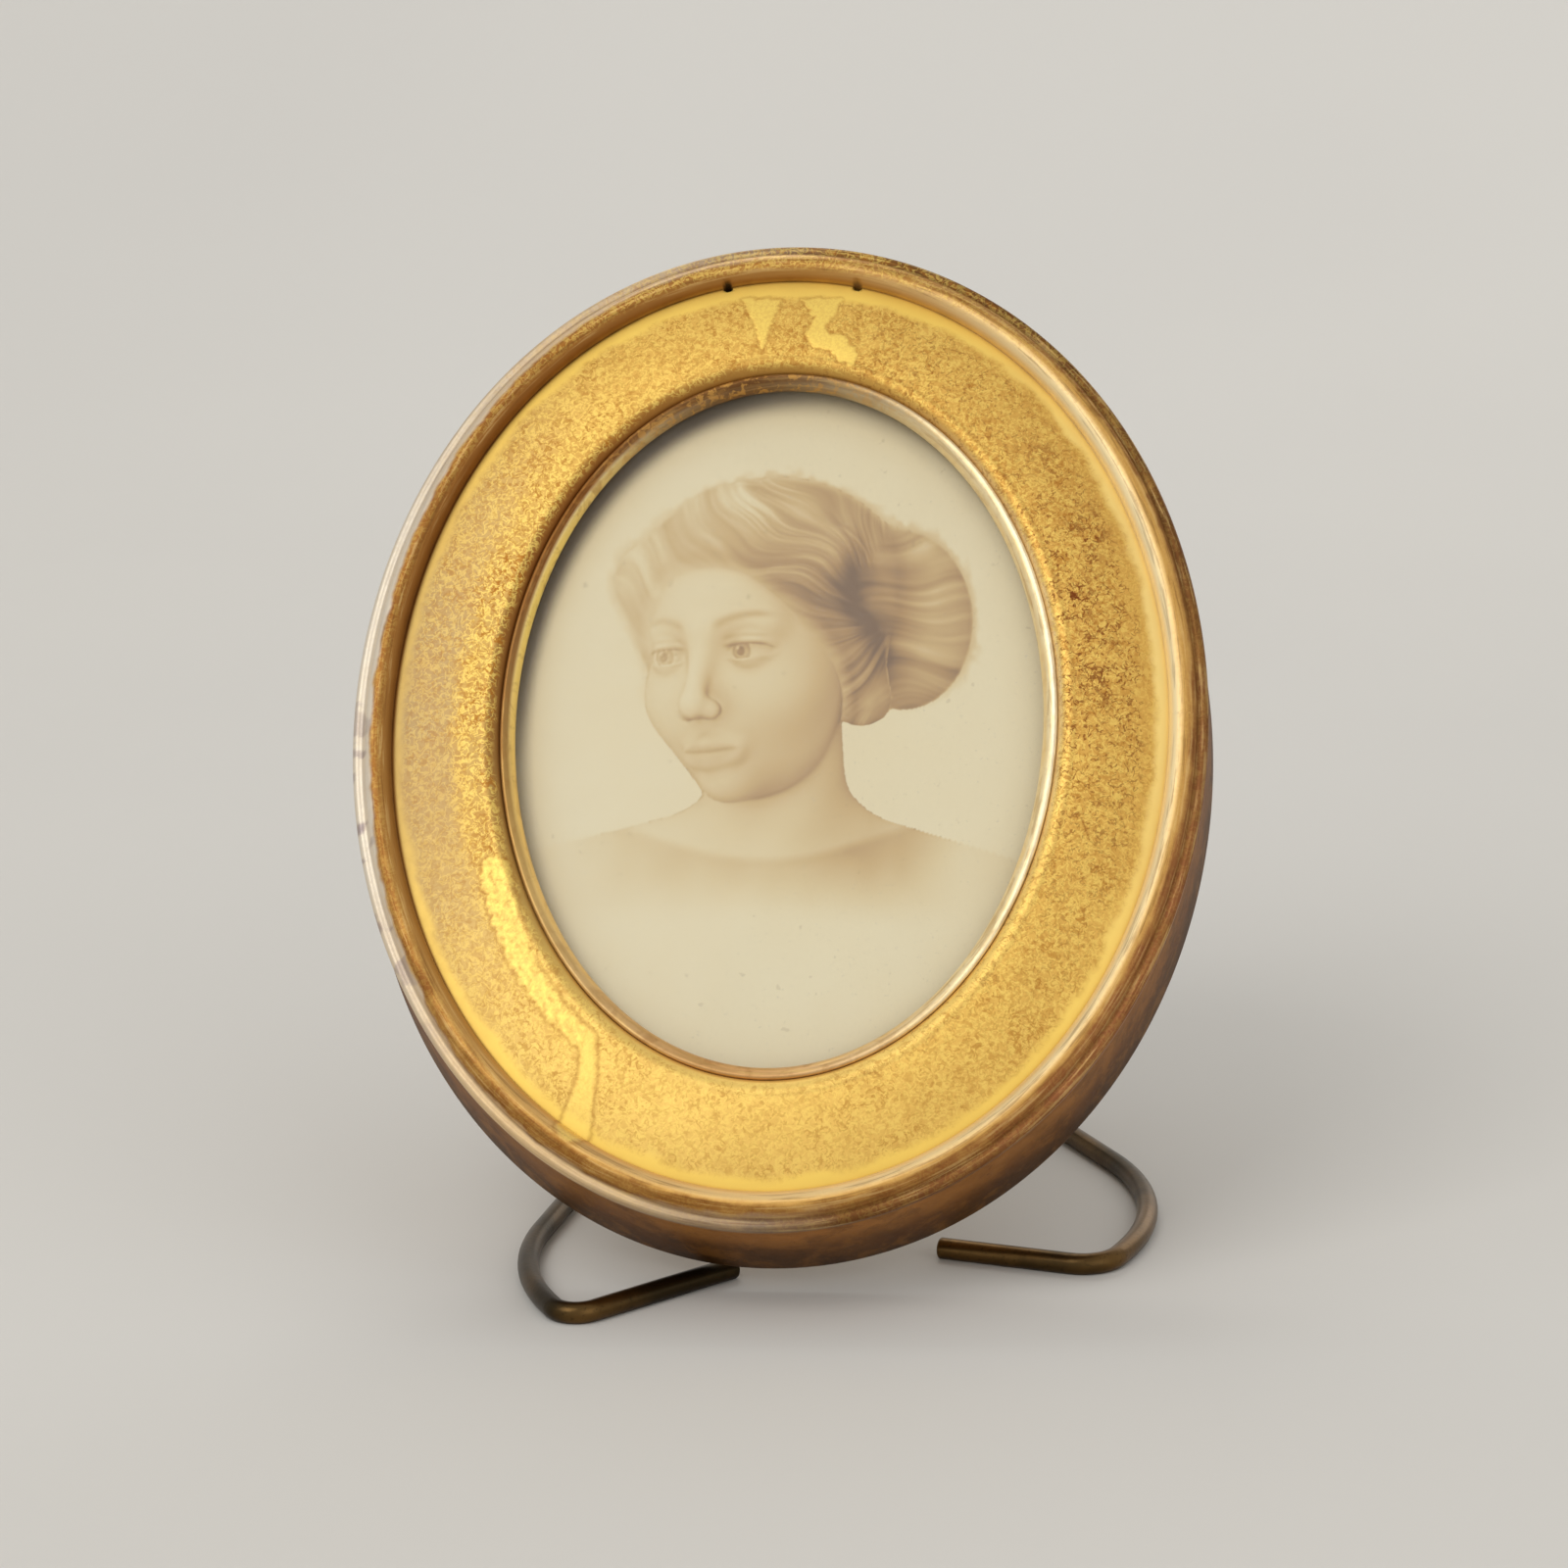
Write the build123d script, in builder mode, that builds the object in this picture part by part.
"""Oval pressed-brass picture frame that tilts on a bent wire stand. Millimetres, +Z up, front towards -Y."""

import math
import os

from build123d import *

# How the frame leans and stands
LEAN = 34.0
FRAME_Y = 6.926
FRAME_ABOVE_FLOOR = 2.1

# Sight opening
SIGHT_A = 31.8
SIGHT_B = 43.65

# Widths of the moulding: all of it from the sight edge, then its parts from the outside inwards
REAR_D = 20.45
SKIRT_FLARE = 0.85
FINE_BEAD_WIDTH = 1.25
BEAD_WIDTH = 3.4
LIP_WIDTH = 2.25
JOINT_D = 1.74

# Heights of the moulding: the panel's ridge from the back edge, then what rises above or lies below it
RIDGE_W = 16.15
CREASE_DROP = 1.45
BEAD_RISE = 0.55
QUIRK_DROP = 0.95
HEM_DROP = 1.55
PANEL_CROWN = 0.35
SHEET = 0.8

# Small roundings of the moulding
EDGE_ROUND = 2.2
EDGE_FALL = 0.95
QUARTER_TURN = 0.293
FINE_BEAD_RISE = 0.2
FINE_BEAD_FALL = 0.85
BACK_ROUND = 0.5

# Pin holes at the top of the crease
PIN_HOLE_R = 0.5
PIN_HOLE_X = 8.1

# Sight bezel
BEZEL_JOINT_GAP = 0.05
BEZEL_FLANGE = 0.8
BEZEL_FLANGE_D = 4.2
BEZEL_TOP_DROP = 0.4
BEZEL_FALL = 1.4
BEZEL_LAND = 0.25
BEZEL_UNDERCUT = 0.3
BEZEL_SHOULDER = 0.35

# What lies behind the bezel, and the room left at the back for the cross-bar and the buttons
GLASS_D = 3.6
GLASS_T = 1.5
PRINT_D = 3.4
PRINT_T = 0.25
CARD_D = 3.6
CARD_T = 1.25
BOARD_EDGE_GAP = 2.95
BOARD_COUNT = 3
PLATE_T = 0.8
PLATE_GAP = 0.25
PLATE_BACK = 2.2

# Wire stand
WIRE_R = 1.3
FOOT_FLAT = 0.15
BAR_V = 9.0
BAR_HALF = 16.0
BAR_BEND_R = 4.0
HEEL_BEND_R = 7.0
TIP_ROUND = 0.35
TOE_TO_ARM = 0.5
LEFT_TIP = (-4.6, -3.1)
LEFT_TOE = (-22.3, 14.2)
LEFT_TOE_R = 3.0
LEFT_ARM = (-31.4, -1.5)
LEFT_HEEL = (-22.5, -60.0)
RIGHT_TIP = (19.4, -10.6)
RIGHT_TOE = (39.0, -4.6)
RIGHT_TOE_R = 4.6
RIGHT_ARM = (48.7, -26.1)
RIGHT_HEEL = (29.0, -64.0)

# Straps that hold the stand's cross-bar
BAR_CLEARANCE = 0.06
STRAP_T = 0.8
STRAP_WIDTH = 7.0
STRAP_FROM_BAR_END = 7.0
STRAP_FLANGE = 5.0
STRAP_CORNER_R = 1.6

# Rivets
RIVET_R = 1.0
RIVET_HEAD_R = 1.8
RIVET_HEAD_T = 0.7
RIVET_FIT = 0.02

# Turn buttons
BUTTON_ANGLES = (48.0, 132.0, 228.0, 312.0)
BUTTON_NAMES = ("upper_right", "upper_left", "lower_left", "lower_right")
BUTTON_FROM_LIP = 7.2
BUTTON_REACH = 5.7
BUTTON_HALF_WIDTH = 2.5
BUTTON_TAPER = 0.8
BUTTON_T = 0.8
BUTTON_HOLE_FIT = 0.06
WASHER_T = 0.25
WASHER_R = 2.3
BUTTON_PLAY = 0.08

# Widths, heights and places that follow from the sizes above
RIM_D = REAR_D - SKIRT_FLARE
BEAD_END_D = RIM_D - FINE_BEAD_WIDTH
CREASE_D = BEAD_END_D - BEAD_WIDTH
LIP_IN_D = REAR_D - LIP_WIDTH
CREASE_W = RIDGE_W - CREASE_DROP
QUIRK_W = RIDGE_W - QUIRK_DROP
HEM_W = RIDGE_W - HEM_DROP
BEZEL_TOP_W = RIDGE_W - BEZEL_TOP_DROP
BEZEL_EDGE_W = BEZEL_TOP_W - BEZEL_FALL
BOARD_D = CREASE_D - BOARD_EDGE_GAP
PLATE_D = LIP_IN_D - PLATE_GAP
BUTTON_PIVOT_D = LIP_IN_D - BUTTON_FROM_LIP
STRAP_X = BAR_HALF - STRAP_FROM_BAR_END

# Heights that follow from the stack, front to back; the packing boards fill what is left
GLASS_FRONT = HEM_W - BEZEL_FLANGE
PRINT_FRONT = GLASS_FRONT - GLASS_T
CARD_FRONT = PRINT_FRONT - PRINT_T
BOARD_FRONT = CARD_FRONT - CARD_T
PLATE_FRONT = PLATE_BACK + PLATE_T
BOARD_T = (BOARD_FRONT - PLATE_FRONT) / BOARD_COUNT
BAR_W = PLATE_BACK - WIRE_R - BAR_CLEARANCE
WASHER_BACK = PLATE_BACK - WASHER_T
BUTTON_FRONT = WASHER_BACK - BUTTON_PLAY
BUTTON_BACK = BUTTON_FRONT - BUTTON_T

# The frame's own plane: X to the right, Y up the face, Z out of the face
LEAN_SIN = math.sin(math.radians(LEAN))
LEAN_COS = math.cos(math.radians(LEAN))
FRAME_Z = FRAME_ABOVE_FLOOR + (SIGHT_B + REAR_D) * LEAN_COS
FACE = Plane(origin=(0, FRAME_Y, FRAME_Z), x_dir=(1, 0, 0), z_dir=(0, -LEAN_COS, LEAN_SIN))
EDGE_Y = FRAME_Y - (SIGHT_B + REAR_D) * LEAN_SIN

os.makedirs("parts", exist_ok=True)


def save(part, name):
    """Label one finished part and write it as a STEP file."""
    part.label = name
    export_step(part, "parts/" + name + ".step")


def on_face(u, v, w):
    """World point of a place given in the frame's own plane."""
    return FACE.from_local_coords(Vector(u, v, w))


def on_floor(point):
    """World point of the wire's centre line on the floor, from (x, distance in front of the frame's edge)."""
    return Vector(point[0], EDGE_Y - point[1], WIRE_R - FOOT_FLAT)


def half_corner(points, index):
    """Half the angle between the two lines that meet at one of the points."""
    back = (points[index - 1] - points[index]).normalized()
    ahead = (points[index + 1] - points[index]).normalized()
    return math.acos(max(-1.0, min(1.0, back.dot(ahead)))) / 2


def widest_bend(points, arm, toe, toe_radius):
    """Radius of the arm's long bend, which takes up all but a short straight of the way to the toe's bend."""
    taken = toe_radius / math.tan(half_corner(points, toe)) + TOE_TO_ARM
    room = (points[arm] - points[toe]).length - taken
    return room * math.tan(half_corner(points, arm))


def rounded_path(points, radii):
    """Lines through the points with each inner corner rounded to its own radius; runs inside BuildLine."""
    start = points[0]
    for index in range(1, len(points) - 1):
        corner = points[index]
        back = (points[index - 1] - corner).normalized()
        ahead = (points[index + 1] - corner).normalized()
        half_angle = half_corner(points, index)
        cut = radii[index - 1] / math.tan(half_angle)
        bisector = (back + ahead).normalized()
        middle = corner + bisector * (radii[index - 1] / math.sin(half_angle) - radii[index - 1])
        arc_start = corner + back * cut
        arc_end = corner + ahead * cut
        Line(start, arc_start)
        ThreePointArc(arc_start, middle, arc_end)
        start = arc_end
    Line(start, points[-1])


def button_place(angle):
    """Pivot point and outward direction of a turn button, in the frame's own plane."""
    turn = math.radians(angle)
    normal = Vector(SIGHT_B * math.cos(turn), SIGHT_A * math.sin(turn)).normalized()
    edge = Vector(SIGHT_A * math.cos(turn), SIGHT_B * math.sin(turn))
    return edge + normal * BUTTON_PIVOT_D, math.degrees(math.atan2(normal.Y, normal.X))


button_places = [button_place(angle) for angle in BUTTON_ANGLES]
button_pivots = [(place.X, place.Y) for place, heading in button_places]
strap_rivet_v = WIRE_R + BAR_CLEARANCE + STRAP_T + STRAP_FLANGE / 2
strap_rivets_uv = [(side * STRAP_X, BAR_V + way * strap_rivet_v) for side in (-1, 1) for way in (-1, 1)]

# The sight ellipse that the rings follow, and the plane of their section at its top
with BuildSketch(FACE) as sight_oval:
    Ellipse(SIGHT_A, SIGHT_B)
SIGHT_PATH = sight_oval.sketch.edges()[0]
SECTION = Plane(origin=on_face(0, SIGHT_B, 0), x_dir=FACE.y_dir, z_dir=FACE.x_dir)

# Frame shell: hem, panel, main bead, fine outer bead, side wall and the lip turned in at the back
edge_start = (JOINT_D, RIDGE_W - EDGE_FALL)
edge_middle = (JOINT_D + QUARTER_TURN * EDGE_ROUND, RIDGE_W - QUARTER_TURN * EDGE_FALL)
panel_start = (JOINT_D + EDGE_ROUND, RIDGE_W)
panel_middle = ((panel_start[0] + CREASE_D) / 2, (RIDGE_W + CREASE_W) / 2 + PANEL_CROWN)
crease = (CREASE_D, CREASE_W)
bead_middle = ((CREASE_D + BEAD_END_D) / 2, RIDGE_W + BEAD_RISE)
quirk = (BEAD_END_D, QUIRK_W)
fine_bead_middle = (BEAD_END_D + 0.72 * FINE_BEAD_WIDTH, QUIRK_W + FINE_BEAD_RISE)
fine_bead_end = (BEAD_END_D + 0.96 * FINE_BEAD_WIDTH, QUIRK_W - FINE_BEAD_FALL)
back_round_start = (REAR_D, BACK_ROUND)
back_round_middle = (REAR_D - QUARTER_TURN * BACK_ROUND, QUARTER_TURN * BACK_ROUND)
back_round_end = (REAR_D - BACK_ROUND, 0)
lip_back = (LIP_IN_D, 0)
lip_front = (LIP_IN_D, SHEET)
wall_back = (REAR_D - SHEET, SHEET)
wall_front = (RIM_D - SHEET, CREASE_W - SHEET)
under_crease = (CREASE_D, CREASE_W - SHEET)
under_ridge = (JOINT_D + SHEET, RIDGE_W - SHEET)
hem_outside = (JOINT_D + SHEET, HEM_W)
hem_inside = (JOINT_D, HEM_W)
with BuildPart() as frame_shell:
    with BuildSketch(SECTION):
        with BuildLine():
            Line(hem_inside, edge_start)
            ThreePointArc(edge_start, edge_middle, panel_start)
            ThreePointArc(panel_start, panel_middle, crease)
            ThreePointArc(crease, bead_middle, quirk)
            ThreePointArc(quirk, fine_bead_middle, fine_bead_end)
            Line(fine_bead_end, back_round_start)
            ThreePointArc(back_round_start, back_round_middle, back_round_end)
            Polyline(back_round_end, lip_back, lip_front, wall_back, wall_front)
            Polyline(wall_front, under_crease, under_ridge, hem_outside, hem_inside)
        make_face()
    sweep(path=SIGHT_PATH)
    pin_hole_v = (SIGHT_B + CREASE_D) * math.sqrt(1 - (PIN_HOLE_X / (SIGHT_A + CREASE_D)) ** 2)
    with BuildSketch(FACE.offset(CREASE_W - 2 * SHEET)):
        with Locations((-PIN_HOLE_X, pin_hole_v), (PIN_HOLE_X, pin_hole_v)):
            Circle(PIN_HOLE_R)
    extrude(amount=6 * SHEET, mode=Mode.SUBTRACT)
save(frame_shell.part, "frame_shell")

# Sight bezel: rounded inner edge in front, flat flange under the shell's hem
bezel_out = JOINT_D - BEZEL_JOINT_GAP
bezel_edge = (0, BEZEL_EDGE_W)
bezel_top = (bezel_out - BEZEL_SHOULDER, BEZEL_TOP_W)
bezel_slope = (0.37 * bezel_top[0], BEZEL_TOP_W - QUARTER_TURN * BEZEL_FALL)
bezel_shoulder = (bezel_out, BEZEL_TOP_W - BEZEL_SHOULDER)
bezel_corner = (bezel_out - QUARTER_TURN * BEZEL_SHOULDER, BEZEL_TOP_W - QUARTER_TURN * BEZEL_SHOULDER)
bezel_land = (0, BEZEL_EDGE_W - BEZEL_LAND)
bezel_foot = (BEZEL_UNDERCUT, GLASS_FRONT)
flange_root = (bezel_out, HEM_W)
flange_front = (BEZEL_FLANGE_D, HEM_W)
flange_back = (BEZEL_FLANGE_D, GLASS_FRONT)
with BuildPart() as sight_bezel:
    with BuildSketch(SECTION):
        with BuildLine():
            Polyline(bezel_foot, bezel_land, bezel_edge)
            ThreePointArc(bezel_edge, bezel_slope, bezel_top)
            ThreePointArc(bezel_top, bezel_corner, bezel_shoulder)
            Polyline(bezel_shoulder, flange_root, flange_front, flange_back, bezel_foot)
        make_face()
    sweep(path=SIGHT_PATH)
save(sight_bezel.part, "sight_bezel")

# Cover glass
with BuildPart() as cover_glass:
    with BuildSketch(FACE.offset(GLASS_FRONT)):
        Ellipse(SIGHT_A + GLASS_D, SIGHT_B + GLASS_D)
    extrude(amount=-GLASS_T)
save(cover_glass.part, "cover_glass")

# Portrait print
with BuildPart() as portrait_print:
    with BuildSketch(FACE.offset(PRINT_FRONT)):
        Ellipse(SIGHT_A + PRINT_D, SIGHT_B + PRINT_D)
    extrude(amount=-PRINT_T)
save(portrait_print.part, "portrait_print")

# Mount card that the print is pasted to
with BuildPart() as mount_card:
    with BuildSketch(FACE.offset(CARD_FRONT)):
        Ellipse(SIGHT_A + CARD_D, SIGHT_B + CARD_D)
    extrude(amount=-CARD_T)
save(mount_card.part, "mount_card")

# Packing boards: equal layers, one node
board_solids = []
for layer in range(BOARD_COUNT):
    with BuildPart() as packing_board:
        with BuildSketch(FACE.offset(BOARD_FRONT - layer * BOARD_T)):
            Ellipse(SIGHT_A + BOARD_D, SIGHT_B + BOARD_D)
        extrude(amount=-BOARD_T)
    board_solids.append(packing_board.part.solid())
save(Compound(children=board_solids), "packing_boards")

# Back plate with its rivet holes
with BuildPart() as back_plate:
    with BuildSketch(FACE.offset(PLATE_FRONT)):
        Ellipse(SIGHT_A + PLATE_D, SIGHT_B + PLATE_D)
        with Locations(*button_pivots, *strap_rivets_uv):
            Circle(RIVET_R + RIVET_FIT, mode=Mode.SUBTRACT)
    extrude(amount=-PLATE_T)
save(back_plate.part, "back_plate")

# Straps that wrap the stand's cross-bar
bar_hole_r = WIRE_R + BAR_CLEARANCE
strap_reach = bar_hole_r + STRAP_T + STRAP_FLANGE
for side, strap_name in ((-1, "left_bar_strap"), (1, "right_bar_strap")):
    strap_origin = on_face(side * STRAP_X - STRAP_WIDTH / 2, BAR_V, BAR_W)
    strap_plane = Plane(origin=strap_origin, x_dir=FACE.y_dir, z_dir=FACE.x_dir)
    with BuildPart() as bar_strap:
        with BuildSketch(strap_plane):
            Circle(bar_hole_r + STRAP_T)
            with Locations((0, bar_hole_r / 2)):
                Rectangle(2 * (bar_hole_r + STRAP_T), bar_hole_r)
            with Locations((0, bar_hole_r - STRAP_T / 2)):
                Rectangle(2 * strap_reach, STRAP_T)
            with Locations((0, bar_hole_r + STRAP_T)):
                Rectangle(4 * bar_hole_r, 2 * STRAP_T, mode=Mode.SUBTRACT)
            Circle(bar_hole_r, mode=Mode.SUBTRACT)
            with Locations((0, bar_hole_r)):
                Rectangle(2 * bar_hole_r, 2 * bar_hole_r, mode=Mode.SUBTRACT)
        extrude(amount=STRAP_WIDTH)
        with BuildSketch(FACE.offset(PLATE_BACK)):
            for way in (-1, 1):
                with Locations((side * STRAP_X, BAR_V + way * strap_rivet_v)):
                    Circle(RIVET_R + RIVET_FIT)
        extrude(amount=-2 * STRAP_T, mode=Mode.SUBTRACT)
        with BuildSketch(FACE.offset(PLATE_BACK + STRAP_T)):
            with Locations((side * STRAP_X, BAR_V)):
                RectangleRounded(STRAP_WIDTH, 2 * strap_reach, STRAP_CORNER_R)
        extrude(amount=-12 * STRAP_T, mode=Mode.INTERSECT)
    save(bar_strap.part, strap_name)


def rivet_solid(u, v, head_front):
    """One rivet: low round head behind, shank flush with the back plate's inner face."""
    with BuildPart() as rivet:
        with BuildSketch(FACE.offset(PLATE_FRONT)):
            with Locations((u, v)):
                Circle(RIVET_R)
        extrude(amount=-(PLATE_FRONT - head_front))
        with BuildSketch(FACE.offset(head_front)):
            with Locations((u, v)):
                Circle(RIVET_HEAD_R)
        extrude(amount=-RIVET_HEAD_T, taper=20)
    return rivet.part.solid()


strap_rivets = [rivet_solid(u, v, PLATE_BACK - STRAP_T) for u, v in strap_rivets_uv]
save(Compound(children=strap_rivets), "strap_rivets")

# Turn buttons, each pointing outwards under the shell's lip
for (place, heading), button_name in zip(button_places, BUTTON_NAMES):
    pointing = FACE.x_dir * math.cos(math.radians(heading)) + FACE.y_dir * math.sin(math.radians(heading))
    button_plane = Plane(origin=on_face(place.X, place.Y, BUTTON_FRONT), x_dir=pointing, z_dir=FACE.z_dir)
    with BuildPart() as turn_button:
        with BuildSketch(button_plane):
            Circle(BUTTON_HALF_WIDTH)
            with Locations((BUTTON_REACH / 2, 0)):
                Rectangle(BUTTON_REACH, 2 * BUTTON_HALF_WIDTH * BUTTON_TAPER)
            with Locations((BUTTON_REACH, 0)):
                Circle(BUTTON_HALF_WIDTH * BUTTON_TAPER)
            Circle(RIVET_R + BUTTON_HOLE_FIT, mode=Mode.SUBTRACT)
        extrude(amount=-BUTTON_T)
    save(turn_button.part, "turn_button_" + button_name)

# Washers under the turn buttons
washers = []
for pivot in button_pivots:
    with BuildPart() as button_washer:
        with BuildSketch(FACE.offset(PLATE_BACK)):
            with Locations(pivot):
                Circle(WASHER_R)
                Circle(RIVET_R + BUTTON_HOLE_FIT, mode=Mode.SUBTRACT)
        extrude(amount=-WASHER_T)
    washers.append(button_washer.part.solid())
save(Compound(children=washers), "button_washers")

button_rivets = [rivet_solid(u, v, BUTTON_BACK - BUTTON_PLAY) for u, v in button_pivots]
save(Compound(children=button_rivets), "button_rivets")

# Wire stand: tip, toe, arm and heel on the floor, up to the cross-bar and down the other side
left_points = [LEFT_TIP, LEFT_TOE, LEFT_ARM, LEFT_HEEL]
right_points = [RIGHT_HEEL, RIGHT_ARM, RIGHT_TOE, RIGHT_TIP]
bar_ends = [on_face(-BAR_HALF, BAR_V, BAR_W), on_face(BAR_HALF, BAR_V, BAR_W)]
wire_points = [on_floor(p) for p in left_points] + bar_ends + [on_floor(p) for p in right_points]
left_arm_r = widest_bend(wire_points, 2, 1, LEFT_TOE_R)
right_arm_r = widest_bend(wire_points, 7, 8, RIGHT_TOE_R)
left_radii = [LEFT_TOE_R, left_arm_r, HEEL_BEND_R, BAR_BEND_R]
right_radii = [BAR_BEND_R, HEEL_BEND_R, right_arm_r, RIGHT_TOE_R]
with BuildPart() as wire_stand:
    with BuildLine() as wire_line:
        rounded_path(wire_points, left_radii + right_radii)
    wire_start = Plane(origin=wire_line.wire() @ 0, z_dir=wire_line.wire() % 0)
    with BuildSketch(wire_start):
        Circle(WIRE_R)
    sweep(path=wire_line.wire())
    tip_edges = wire_stand.edges().filter_by(GeomType.CIRCLE)
    left_end = tip_edges.sort_by_distance(wire_points[0])[0]
    right_end = tip_edges.sort_by_distance(wire_points[-1])[0]
    fillet([left_end, right_end], TIP_ROUND)
    with BuildSketch(Plane.XY):
        Rectangle(400, 400)
    extrude(amount=-5, mode=Mode.SUBTRACT)
save(wire_stand.part, "wire_stand")
